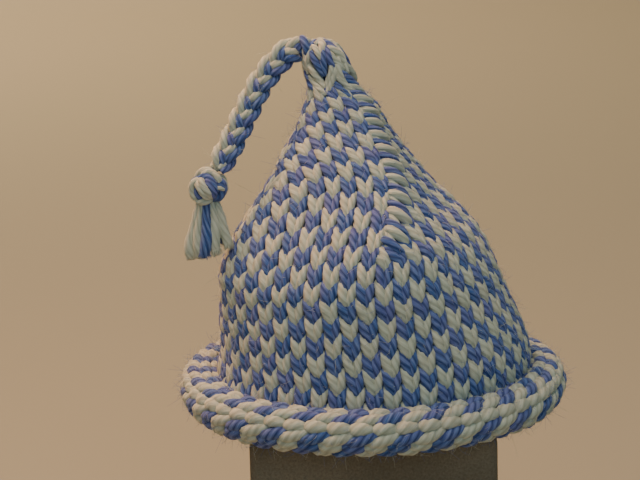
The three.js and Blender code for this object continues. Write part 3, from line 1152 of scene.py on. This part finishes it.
@dataclass
class Peak:
    """The stub above the gathered top: the last loops, drawn together and bound.

    A row of its profile has a share of its full height, its lean as a share of the whole
    lean, and its width as a share of its radius. The flare and the dome carry the profile on
    below the stub and above its core.
    """

    radius: float = 12.2
    lean: float = 3.0
    least_reach: float = 0.3
    flare: tuple[float, ...] = (-0.45, 0.0, 1.42)
    dome: tuple[float, ...] = (1.08, 1.0, 0.05)
    dome_start: float = 0.8
    seed: int = 31
    stations: int = 14
    groups: int = 3
    hidden_foot: float = -2.5
    front_only: float = -1.5
    bury: float = 0.9
    thin_end: float = 0.62
    swell_start: float = 0.05
    centre_level: float = 0.45
    collar_middle: Point = (-9.2, -1.4, -4.0)
    collar_along: Point = (-0.95, -0.22, -0.22)
    collar_arc: tuple[float, float] = (-80.0, 260.0)
    collar_reach: float = 4.7
    collar_yarn: float = 2.2
    collar_stations: int = 20
    core_inset: float = 3.2
    core_sides: int = 24
    core_foot: float = -3.0
    core_sink: float = 0.6
    profile: Table = (
        (0.0, 0.0, 1.0), (0.2, 0.25, 1.04), (0.5, 0.65, 1.02), (0.75, 0.9, 0.95),
        (0.9, 1.0, 0.74), (0.98, 1.0, 0.38))
    shoulder: Table = (  # share of the full height, and how much further it reaches to the right
        (-0.45, 4.2), (0.0, 3.4), (0.25, 1.6), (0.5, 0.0), (0.75, -1.4), (0.95, -2.2))
    strands: tuple[HandLaidYarn, ...] = (
        HandLaidYarn(CREAM, 2.2, ((-146, 9.5), (-128, 5.0), (-114, 1.0), (-99, -3.0))),
        HandLaidYarn(CREAM, 1.9, ((-154, 3.0), (-132, -0.6), (-112, -3.2), (-96, -6.0))),
        HandLaidYarn(CREAM, 2.3, ((-60, 9.5), (-70, 4.5), (-84, -0.8), (-96, -6.0))),
        HandLaidYarn(CREAM, 1.8, ((-72, 10.5), (-76, 6.0), (-88, 1.8), (-97, -2.5))),
        HandLaidYarn(BLUE, 2.1, ((-130, 16.5), (-118, 12.0), (-107, 8.0), (-98, 3.6))),
        HandLaidYarn(BLUE, 2.0, ((-90, 17.5), (-92, 12.5), (-94, 8.2), (-97, 3.6))),
        HandLaidYarn(BLUE, 2.0, ((-80, 19.5), (-74, 15.5), (-72, 10.5), (-66, 7.5))),
        HandLaidYarn(CREAM, 1.5, ((-132, 19.0), (-137, 14.0), (-148, 8.0), (-152, 4.0))),
        HandLaidYarn(CREAM, 2.3, ((-158, 13.0), (-172, 8.5), (-176, 4.0), (-166, -1.0))),
        HandLaidYarn(CREAM, 2.2, (
            (-140, 20.5), (-125, 22.5), (-100, 22.0), (-88, 19.0), (-98, 14.5))),
        HandLaidYarn(CREAM, 1.8, ((-134, 19.6), (-116, 18.4), (-104, 15.5), (-98, 12.5))),
        HandLaidYarn(BLUE, 2.3, ((-86, 19.5), (-62, 21.6), (-36, 20.6), (-34, 16.5))),
        HandLaidYarn(CREAM, 2.2, ((-70, 18.6), (-48, 16.8), (-30, 12.4), (-24, 6.5))),
        HandLaidYarn(CREAM, 2.0, ((-76, 16.8), (-62, 13.2), (-50, 9.6), (-40, 5.8))),
        HandLaidYarn(BLUE, 2.3, ((-62, 7.0), (-44, 3.6), (-26, -0.6), (-14, -5.5))),
        HandLaidYarn(CREAM, 1.7, ((-68, 3.4), (-54, 0.0), (-42, -3.6), (-34, -6.5))),
        HandLaidYarn(BLUE, 2.0, ((-76, 0.4), (-62, -3.6), (-50, -7.2), (-44, -9.5))),
        HandLaidYarn(BLUE, 1.7, ((-172, 4.0), (-162, 1.0), (-148, -1.6), (-130, -3.4))),
    )

    def __post_init__(self) -> None:
        """Reads the stub's place and height from the frame."""
        low, high = node_box("peak")
        self.base, self.height = low[2], high[2] - low[2]
        self.full_height = self.height / self.profile[-1][0]
        self.middle = np.array([-Crown.tip_lean, Crown.tip_back])

    def skin(self, azimuth: np.ndarray, height: np.ndarray, deep: float) -> np.ndarray:
        """Points of the stub.

        Args:
            azimuth: Place round the stub, in degrees.
            height: Height over the stub's foot, in millimetres.
            deep: How far the points are sunk, in millimetres.

        Returns:
            The points, in millimetres.
        """
        level, lean, wide = np.vstack([self.flare, self.profile, self.dome]).T
        share = height / self.full_height
        turn = np.radians(azimuth)
        reach = (np.maximum(self.radius * np.interp(share, level, wide) - deep, self.least_reach)
                 + np.interp(share, *np.array(self.shoulder).T) * np.maximum(np.cos(turn), 0))
        x = self.middle[0] - self.lean * np.interp(share, level, lean) + reach * np.cos(turn)
        y = self.middle[1] + reach * np.sin(turn)
        sink = deep * np.clip((share - self.dome_start) / (1 - self.dome_start), 0, 1)
        return np.stack([x, y, self.base + height - sink], axis=-1)

    def lay_group(self, heap: YarnHeap, yarn: YarnLength, turn: float) -> None:
        """Lays every strand of the table, turned about the stub.

        Args:
            heap: Gets the yarns.
            yarn: The modelled length.
            turn: How far the group is turned from the front, in degrees.
        """
        share = np.linspace(0, 1, yarn.stations + 1)
        inner = np.clip(share * (1 + 2 * self.swell_start) - self.swell_start, 0, 1)
        swell = self.thin_end + (1 - self.thin_end) * np.sqrt(np.sin(math.pi * inner).clip(0))
        centre = np.array([*self.middle, self.base + self.height * self.centre_level])
        for strand in self.strands:
            azimuth, height = np.array(strand.points).T
            if turn and height.mean() < self.front_only:
                continue
            if turn:
                height = np.maximum(height, self.hidden_foot)
            places = self.skin(azimuth + turn, height, strand.radius * self.bury)
            line = smooth_through(places, yarn.stations + 1)
            heap.lay_one(yarn, line, strand.radius * swell, unit(line - centre), strand.wool)

    def lay_collar(self, heap: YarnHeap, yarn: YarnLength) -> None:
        """Loops a blue yarn over the plait's root, where it leaves the stub.

        Args:
            heap: Gets the yarn.
            yarn: The modelled length.
        """
        along = unit(np.array(self.collar_along))
        level = unit(np.cross(along, np.array([0.0, 0.0, 1.0])))
        turn = np.radians(np.linspace(*self.collar_arc, yarn.stations + 1))[:, None]
        out = np.cos(turn) * level + np.sin(turn) * np.cross(level, along)
        tip = np.array([self.middle[0] - self.lean, self.middle[1], self.base + self.height])
        line = tip + np.array(self.collar_middle) + out * self.collar_reach
        heap.lay_one(yarn, line, self.collar_yarn, out, BLUE)

    def build_core(self, finishes: Finishes) -> None:
        """Builds the stub's inside: a disc extruded up through the profile and drawn in.

        Args:
            finishes: The object's materials.
        """
        deselect()
        bpy.ops.mesh.primitive_circle_add(
            vertices=self.core_sides, radius=(self.radius - self.core_inset) * MM,
            fill_type="NGON", location=np.array([*self.middle, self.base + self.core_foot]) * MM)
        obj = bpy.context.object
        bpy.ops.object.mode_set(mode="EDIT")
        height, lean, wide = self.core_foot, 0.0, 1.0
        for level, next_lean, next_wide in self.profile[1:]:
            top = level * self.full_height - self.core_inset * self.core_sink
            move = ((lean - next_lean) * self.lean * MM, 0.0, (top - height) * MM)
            bpy.ops.mesh.extrude_region_move(TRANSFORM_OT_translate={"value": move})
            bpy.ops.transform.resize(value=(next_wide / wide, next_wide / wide, 1.0))
            height, lean, wide = top, next_lean, next_wide
        bpy.ops.object.mode_set(mode="OBJECT")
        # the core's dark colour is painted shade, seen in the gaps between the stub's yarns
        finish_form(obj, "peak_core", finishes.backing)
        settle(obj, "peak_knit", "peak")

    def build(self, finishes: Finishes) -> None:
        """Builds the stub's inside and its yarns.

        Args:
            finishes: The object's materials.
        """
        self.build_core(finishes)
        heap, yarn = YarnHeap(self.seed), YarnLength(self.stations)
        for group in range(self.groups):
            self.lay_group(heap, yarn, 360 * group / self.groups)
        self.lay_collar(heap, YarnLength(self.collar_stations))
        settle(heap.piece("peak_stitches", finishes), "peak_knit")


# Cord, knot and tassel


@dataclass(frozen=True)
class TasselEnd:
    """A loose end: where it points and its length in millimetres, and its wool."""

    side: float
    front: float
    length: float
    wool: Wool


@dataclass
class HangingCord:
    """The plaited cord of three doubled strands, with its knot and its tassel."""

    declared_length: float = 81.0
    declared_width: float = 13.4
    plait_seed: int = 41
    plait_turn: float = 32.0
    plait_reach: float = 3.5
    plait_rise: float = 2.5
    plait_start: float = 0.35
    plait_furrow: float = 0.86
    strands: int = 3
    yarn_radius: float = 2.25
    yarn_flat: float = 0.95
    pair_gap: float = 1.8
    tuck_length: float = 7.0
    tucked_width: float = 0.55
    tucked_yarn: float = 0.8
    front: Point = (-0.05, -1.0, 0.2)
    peak_lean: float = 3.0
    peak_height: float = 22.0
    root_reach: float = 9.5
    root_rise: float = 0.6
    line_samples: int = 161
    line_step: int = 8
    spine_samples: int = 171
    path_step: int = 2
    knot_seed: int = 42
    knot_stations: int = 22
    knot_core_inset: float = 3.2
    knot_core_steps: int = 3
    wrap_dip: float = 2.2
    wrap_dip_power: int = 4
    tassel_seed: int = 43
    end_stations: int = 16
    end_lay: float = 44.0
    end_radius: float = 3.0
    end_spread: float = 0.42
    end_root: float = 2.6
    end_sway: tuple[float, ...] = (1.1, 7.0, 1.9)  # millimetres, waves, step from end to end
    end_lumps: tuple[float, ...] = (0.74, 0.42, 0.1)  # share at the knot, growth, unevenness
    lump_waves: float = 9.0
    tip: tuple[float, ...] = (0.8, 0.22, 0.12)  # where it draws in, over what length, how far
    frays: int = 40
    fray_stations: int = 3
    fray_root: int = 3  # stations back from the tip
    fray_reach: tuple[float, float] = (0.2, 0.95)
    fray_length: tuple[float, float] = (2.6, 4.4)
    fray_radius: tuple[float, float] = (0.34, 0.12)
    fray_bend: float = 0.9
    route: tuple[Point, ...] = (
        (-13.9, -0.4, -5.2), (-18.4, -1.6, -6.9), (-22.7, -2.9, -10.5), (-26.6, -4.4, -14.2),
        (-30.1, -6.2, -18.3), (-33.2, -8.2, -22.6), (-35.9, -10.3, -27.1), (-38.4, -12.5, -31.7),
        (-40.9, -14.8, -36.3), (-43.3, -17.1, -41.0), (-45.7, -19.4, -45.6), (-48.1, -21.8, -50.2),
        (-50.6, -24.2, -54.7), (-53.1, -26.5, -59.2), (-55.8, -28.9, -63.7))
    wraps: tuple[HandLaidYarn, ...] = (
        HandLaidYarn(CREAM, 2.0, ((-134, 46), (-118, 34), (-104, 14), (-88, -8), (-68, -38)), 0.6),
        HandLaidYarn(CREAM, 1.9, ((-146, 38), (-130, 20), (-114, 0), (-98, -22), (-80, -48)), 0.3),
        HandLaidYarn(BLUE, 2.2, (
            (-140, 22), (-128, 48), (-96, 56), (-72, 34), (-60, 4), (-52, -34))),
        HandLaidYarn(BLUE, 2.1, ((-110, 40), (-84, 30), (-74, 6), (-66, -16), (-60, -46))),
        HandLaidYarn(CREAM, 1.9, ((-136, 58), (-100, 74), (-50, 64), (-40, 36), (-34, 14)), 1.0),
        HandLaidYarn(BLUE, 2.2, ((-52, 34), (-34, 20), (-26, -6), (-28, -34), (-40, -62)), 0.5),
        HandLaidYarn(CREAM, 1.1, ((-66, 8), (-48, 6), (-30, -2), (-14, -6)), 0.4),
        HandLaidYarn(BLUE, 2.1, ((-40, 44), (-14, 24), (-4, -6), (-10, -36), (-30, -64))),
        HandLaidYarn(CREAM, 2.2, (
            (-128, 44), (-150, 26), (-160, -2), (-154, -30), (-136, -58)), 1.0),
        HandLaidYarn(BLUE, 2.0, ((-144, 12), (-138, -10), (-130, -34), (-116, -56)), -0.5),
        HandLaidYarn(CREAM, 2.1, ((-168, -30), (-140, -46), (-104, -44), (-74, -56)), 1.0),
        HandLaidYarn(BLUE, 2.1, ((-176, 34), (-178, 4), (-170, -26), (-150, -50))),
    )
    ends: tuple[TasselEnd, ...] = (
        TasselEnd(-10.4, 1.0, 31.0, CREAM),
        TasselEnd(-6.6, 3.4, 30.0, CREAM),
        TasselEnd(-2.2, 6.4, 29.0, BLUE),
        TasselEnd(3.6, 5.0, 28.0, CREAM),
        TasselEnd(8.6, 2.4, 25.0, CREAM),
        TasselEnd(1.4, 3.0, 25.2, BLUE),
        TasselEnd(-3.4, -4.0, 24.6, BLUE),
        TasselEnd(4.8, -4.0, 23.4, BLUE),
    )

    def __post_init__(self) -> None:
        """Reads the places of the stub, the knot and the tassel from the frame."""
        base = node_box("peak")[0][2]
        top = np.array([-Crown.tip_lean - self.peak_lean, Crown.tip_back, base + self.peak_height])
        self.line = smooth_through(np.array(self.route) + top, self.line_samples)
        root = np.array([-Crown.tip_lean - self.root_reach, Crown.tip_back,
                         self.line[0][2] + self.root_rise])
        self.spine = smooth_through(
            np.vstack([root, self.line[::self.line_step]]), self.spine_samples)
        low, high = node_box("cord_knot")
        self.knot_middle, self.knot_radius = (low + high) / 2, (high[2] - low[2]) / 2

    def build_plait(self, finishes: Finishes) -> bpy.types.Object:
        """Builds the plait: three strands of a cream and a blue yarn, crossing over by turns.

        Args:
            finishes: The object's materials.

        Returns:
            The plait.
        """
        spine = self.spine
        yarn = YarnLength(len(spine) - 1, furrow_depth=self.plait_furrow)
        along = unit(np.gradient(spine, axis=0))
        front = np.array(self.front)
        front = unit(front - along * (along @ front)[:, None])
        side = np.cross(front, along)
        length = walked(spine)
        tuck = np.clip(np.minimum(length, length[-1] - length) / self.tuck_length, 0, 1)
        narrow = self.tucked_width + (1 - self.tucked_width) * tuck
        radius = self.yarn_radius * (self.tucked_yarn + (1 - self.tucked_yarn) * tuck)
        heap = YarnHeap(self.plait_seed)
        for strand in range(self.strands):
            turn = FULL_TURN * (length / self.plait_turn + strand / self.strands + self.plait_start)
            over = (narrow * self.plait_reach * np.sin(turn))[:, None] * side
            rise = (narrow * self.plait_rise * np.sin(2 * turn))[:, None] * front
            middle = spine + over - rise
            beside = unit(np.cross(unit(np.gradient(middle, axis=0)), front))
            for wool, sign in ((CREAM, 1), (BLUE, -1)):
                line = middle + sign * self.pair_gap * narrow[:, None] * beside
                heap.lay_one(yarn, line, radius, front, wool, self.yarn_flat)
        return heap.piece("plaited_cord", finishes)

    def build_knot(self, finishes: Finishes) -> tuple[bpy.types.Object, bpy.types.Object]:
        """Builds the knot: yarns wound over each other round a ball, the same again behind.

        Args:
            finishes: The object's materials.

        Returns:
            The wound yarns, and the ball.
        """
        heap, yarn = YarnHeap(self.knot_seed), YarnLength(self.knot_stations)
        for turn in (0.0, math.pi):
            for wrap in self.wraps:
                azimuth, elevation = np.radians(np.array(wrap.points)).T
                along = np.abs(np.linspace(-1, 1, len(azimuth)))
                dip = self.wrap_dip * along ** self.wrap_dip_power
                reach = self.knot_radius - wrap.radius + wrap.lift - dip
                places = self.knot_middle + direction(azimuth + turn, elevation) * reach[:, None]
                line = smooth_through(places, yarn.stations + 1)
                heap.lay_one(yarn, line, wrap.radius, unit(line - self.knot_middle), wrap.wool)
        knot = heap.piece("cord_knot_wraps", finishes)
        deselect()
        bpy.ops.mesh.primitive_ico_sphere_add(
            subdivisions=self.knot_core_steps, location=self.knot_middle * MM,
            radius=(self.knot_radius - self.knot_core_inset) * MM)
        core = bpy.context.object
        # the ball's dark colour is painted shade, seen in the gaps between the wraps
        finish_form(core, "cord_knot_core", finishes.backing)
        return knot, core

    def fray(self, heap: YarnHeap, fibre: YarnLength, end: np.ndarray, heading: np.ndarray,
             side: np.ndarray, out: np.ndarray, wool: Wool) -> None:
        """Lays the fibres that come loose at the tip of an end.

        Args:
            heap: Gets the fibres.
            fibre: The modelled fibre.
            end: The middle of the end, a little before its tip.
            heading: Where the end points.
            side: A direction across the end.
            out: The other direction across the end.
            wool: The end's wool.
        """
        steps = np.linspace(0, 1, fibre.stations + 1)[:, None]
        thin = np.linspace(*self.fray_radius, fibre.stations + 1)
        for _ in range(self.frays):
            turn, reach = heap.dice.uniform(0, FULL_TURN), heap.dice.uniform(*self.fray_reach)
            spread = np.cos(turn) * side + np.sin(turn) * out
            length = heap.dice.uniform(*self.fray_length)
            line = (end + spread * reach * self.end_radius + steps * length * heading
                    + steps ** 2 * spread * self.fray_bend)
            heap.lay_one(fibre, line, thin, out, wool)

    def build_tassel(self, finishes: Finishes) -> bpy.types.Object:
        """Builds the tassel: fat yarn ends that come unspun and fray at their tips.

        Args:
            finishes: The object's materials.

        Returns:
            The tassel.
        """
        yarn = YarnLength(self.end_stations, sides=12, plies=6, lay=self.end_lay)
        fibre = YarnLength(self.fray_stations, sides=4, plies=2, furrow_depth=1.0)
        heap = YarnHeap(self.tassel_seed)
        root = self.knot_middle - np.array([0, 0, self.knot_radius - self.end_root])
        share = np.linspace(0, 1, yarn.stations + 1)
        bow = self.end_spread + (1 - self.end_spread) * np.sin(share * math.pi / 2)
        sway, waves, step = self.end_sway
        neck, growth, lumps = self.end_lumps
        drawn, length, least = self.tip
        taper = np.sqrt(np.clip(1 - ((share - drawn) / length).clip(0) ** 2, least, 1))
        for number, end in enumerate(self.ends):
            middle = root + np.stack([end.side * bow, -end.front * bow, -end.length * share], axis=1)
            middle[:, 0] += sway * share * np.sin(waves * share + step * number)
            heading = unit(np.gradient(middle, axis=0))
            side = unit(np.cross(heading, np.array([0.0, -1.0, 0.0])))
            out = np.cross(side, heading)
            uneven = lumps * np.sin(self.lump_waves * share + number)
            radius = self.end_radius * (neck + growth * share + uneven) * taper
            heap.lay_one(yarn, middle, radius, out, end.wool)
            self.fray(heap, fibre, middle[-self.fray_root], heading[-1], side[-1], out[-1],
                      end.wool)
        return heap.piece("tassel_ends", finishes)

    def build(self, finishes: Finishes) -> None:
        """Args:
            finishes: The object's materials.
        """
        cord = self.build_plait(finishes)
        knot, core = self.build_knot(finishes)
        tassel = self.build_tassel(finishes)
        settle(cord, "cord_wool", "braided_cord")
        settle(knot, "cord_wool", "cord_knot")
        settle(core, "cord_wool")
        settle(tassel, "tassel_wool", "tassel")


# Loose fibres


@dataclass
class LooseFibres:
    """The halo of loose fibres that stand off brushed wool, thin and short."""

    seed: int = 51
    crown_count: int = 2300
    brim_count: int = 1700
    cord_count: int = 420
    shortest: float = 1.6
    longest: float = 5.2
    thickness: float = 0.075
    tip_thinner: float = 0.5
    lift: float = 0.55
    stray: float = 0.5
    curl: float = 0.55
    crown_heights: tuple[float, float] = (0.03, 0.99)
    crown_low_share: float = 1.2
    brim_arc: tuple[float, float] = (-120.0, 100.0)
    cord_start: int = 14
    cord_reach: float = 0.36

    def grow(self, heap: YarnHeap, places: np.ndarray, outward: np.ndarray) -> None:
        """Grows a fibre from each place, leaving outwards and curling over.

        Args:
            heap: Gets the fibres.
            places: Where the fibres start, in millimetres.
            outward: The direction out of the wool at each place.
        """
        count = len(places)
        fibre = YarnLength(stations=4, sides=3, plies=3, furrow_depth=1.0)
        drawn = heap.dice.normal(0, 1, (2, count, 3))
        start = unit(outward * self.lift + drawn[0] * self.stray)
        bend = drawn[1] * self.curl
        length = heap.dice.uniform(self.shortest, self.longest, count)[:, None, None]
        share = np.linspace(0, 1, fibre.stations + 1)[None, :, None]
        lines = places[:, None] + length * (share * start[:, None] + share ** 2 * bend[:, None])
        radii = self.thickness * (1 - self.tip_thinner * share[..., 0])
        out = np.broadcast_to(np.cross(start, unit(bend))[:, None], lines.shape)
        heap.lay(fibre, lines, np.broadcast_to(radii, lines.shape[:2]), out,
                 heap.dice.integers(0, 2, count))

    def build(self, crown: Crown, brim: Brim, cord: HangingCord, finishes: Finishes) -> None:
        """Grows the fibres of the crown, the brim and the plait.

        Args:
            crown: The crown.
            brim: The brim.
            cord: The cord.
            finishes: The object's materials.
        """
        for name, slot, count in (("crown_fibres", "crown_knit", self.crown_count),
                                  ("brim_fibres", "brim_knit", self.brim_count),
                                  ("cord_fibres", "cord_wool", self.cord_count)):
            heap = YarnHeap(self.seed + count)
            turn = heap.dice.uniform(0, FULL_TURN, count)
            if name == "crown_fibres":
                up = heap.dice.uniform(*self.crown_heights, count) ** self.crown_low_share
                places, outward = crown.skin(turn, up), crown.outward(turn, up)
            elif name == "brim_fibres":
                angle = np.radians(heap.dice.uniform(*self.brim_arc, count))
                places, outward = brim.skin(turn, angle, np.zeros(count)), direction(turn, angle)
            else:
                middle = cord.spine[heap.dice.integers(self.cord_start, len(cord.spine), count)]
                outward = unit(heap.dice.normal(0, 1, (count, 3)))
                places = middle + outward * cord.declared_width * self.cord_reach
            self.grow(heap, places, outward)
            settle(heap.piece(name, finishes), slot)


# Stand


@dataclass
class Stand:
    """The plain box that the cap rests on, with softly rounded edges."""

    edge_radius: float = 6.0
    edge_steps: int = 8
    flat_radius: float = 1.2
    flat_steps: int = 3
    smooth_angle: float = 35.0

    def build(self, finishes: Finishes) -> None:
        """Builds the box from a cube: all edges rounded, then those of the top and underside.

        Args:
            finishes: The object's materials.
        """
        low, high = node_box("box_stand")
        deselect()
        bpy.ops.mesh.primitive_cube_add(size=1.0, location=(low + high) / 2 * MM)
        obj = bpy.context.object
        obj.scale = (high - low) * MM
        bpy.ops.object.transform_apply(location=True, rotation=True, scale=True)
        self.round_edges(obj, np.ones(len(obj.data.vertices)), self.edge_radius, self.edge_steps)
        heights = own_points(obj)[:, 2]
        is_flat = np.minimum(heights - heights.min(), heights.max() - heights) < TINY
        self.round_edges(obj, is_flat, self.flat_radius, self.flat_steps)
        finish_form(obj, "stand_box", finishes.board)
        bpy.ops.object.shade_smooth_by_angle(angle=math.radians(self.smooth_angle))
        settle(obj, "stand_board", "box_stand")

    def round_edges(self, obj: bpy.types.Object, chosen: np.ndarray, radius: float,
                    steps: int) -> None:
        """Rounds the edges between some points of the box.

        Args:
            obj: The box.
            chosen: Whether each point is one of them.
            radius: The rounding's radius, in millimetres.
            steps: Its segments.
        """
        edit_points(obj, chosen)
        bpy.ops.mesh.select_mode(type="EDGE")
        bpy.ops.mesh.bevel(offset=radius * MM, segments=steps, profile=0.5)
        bpy.ops.object.mode_set(mode="OBJECT")


# Setting


@dataclass(frozen=True)
class Lamp:
    """A soft area lamp: where it stands, what it faces, its size in metres, power and colour."""

    name: str
    place: Point
    aim: Point
    size: float
    power: float
    colour: str


@dataclass
class Studio:
    """The plain room: pale floor and wall, soft lamps, and the camera."""

    camera_place: Point = (0.0, -1434.46, 572.86)
    camera_forward: Point = (-0.01767, 0.9716, -0.23597)
    camera_right: Point = (0.99962, 0.01222, -0.02452)
    lens: float = 156.0
    sensor_width: float = 36.0
    sight: float = 20.0
    floor_size: float = 8.0
    wall_back: float = 2.7
    wall_height: float = 3.0
    cove_radius: float = 0.5
    cove_steps: int = 16
    floor_colour: str = "#9fa092"
    sky_colour: str = "#b9d6dc"
    sky_power: float = 0.34
    lamps: tuple[Lamp, ...] = (
        Lamp("warm_lamp", (-0.46, 0.2, 1.05), (-0.02, 0.0, 0.26), 0.4, 10.5, "#ffb780"),
        Lamp("soft_front", (0.3, -1.9, 1.1), (0.0, 0.0, 0.24), 1.5, 6.0, "#c8e6ee"),
        Lamp("top_light", (-0.1, -0.3, 1.1), (0.0, 0.0, 0.25), 0.6, 4.2, "#ffe2c4"),
        Lamp("room_lamp", (-1.0, 2.0, 1.7), (-0.5, 2.4, 0.0), 1.2, 62.0, "#ffcd9c"),
    )

    def build_camera(self) -> None:
        """Sets the camera at the photo's angle."""
        forward = unit(np.array(self.camera_forward))
        right = np.array(self.camera_right)
        right = unit(right - forward * (right @ forward))
        data = bpy.data.cameras.new("photo_camera")
        data.sensor_fit = "HORIZONTAL"
        data.sensor_width = self.sensor_width
        data.lens = self.lens
        data.clip_end = self.sight
        camera = add_object("photo_camera", data)
        camera.matrix_world = standing(
            np.array(self.camera_place) * MM, right, np.cross(right, forward), -forward)
        bpy.context.scene.camera = camera

    def build_room(self) -> None:
        """Builds the floor with a wall that rises from its back edge in a round cove."""
        deselect()
        bpy.ops.mesh.primitive_plane_add(size=self.floor_size, location=(0, 0, 0))
        obj = bpy.context.object
        points = own_points(obj)
        is_back = points[:, 1] > 0
        points[is_back, 1] = self.wall_back
        set_points(obj, points)
        edit_points(obj, is_back)
        rise = {"value": (0, 0, self.wall_height)}
        bpy.ops.mesh.extrude_region_move(TRANSFORM_OT_translate=rise)
        bpy.ops.object.mode_set(mode="OBJECT")
        apply_modifier(obj, "BEVEL", width=self.cove_radius, segments=self.cove_steps)
        material, tree = new_material("pale_matte_paint")
        shader = wire(tree, "ShaderNodeBsdfPrincipled", {
            "Base Color": linear(self.floor_colour), "Roughness": 0.95,
            "Specular IOR Level": 0.1})
        wire(tree, "ShaderNodeOutputMaterial", {"Surface": shader.outputs[0]})
        dress(obj, "pale_floor", material)
        LOG.info("floor and wall, %.1f m wide", self.floor_size)

    def build_lamps(self) -> None:
        """Hangs the lamps and sets the sky's soft light."""
        for lamp in self.lamps:
            data = bpy.data.lights.new(lamp.name, "AREA")
            data.shape = "DISK"
            data.size = lamp.size
            data.energy = lamp.power
            data.color = linear(lamp.colour)[:3]
            back = unit(np.array(lamp.place) - np.array(lamp.aim))
            side = unit(np.cross(np.array([0.0, 0.0, 1.0]), back))
            obj = add_object(lamp.name, data)
            obj.matrix_world = standing(lamp.place, side, np.cross(back, side), back)
        world = bpy.data.worlds.new("soft_sky")
        bpy.context.scene.world = world
        world.use_nodes = True
        world.node_tree.nodes.clear()
        sky = wire(world.node_tree, "ShaderNodeBackground", {
            "Color": linear(self.sky_colour), "Strength": self.sky_power})
        wire(world.node_tree, "ShaderNodeOutputWorld", {"Surface": sky.outputs[0]})


def main() -> None:
    """Builds the object and its setting, the camera and the cord first."""
    logging.basicConfig(level=logging.INFO, format="%(name)s: %(message)s")
    studio = Studio()
    studio.build_camera()
    finishes = Finishes()
    cord, crown, brim = HangingCord(), Crown(), Brim()
    cord.build(finishes)
    crown.build(finishes)
    brim.build(finishes)
    Peak().build(finishes)
    LooseFibres().build(crown, brim, cord, finishes)
    Stand().build(finishes)
    studio.build_room()
    studio.build_lamps()


if __name__ == "__main__":
    main()
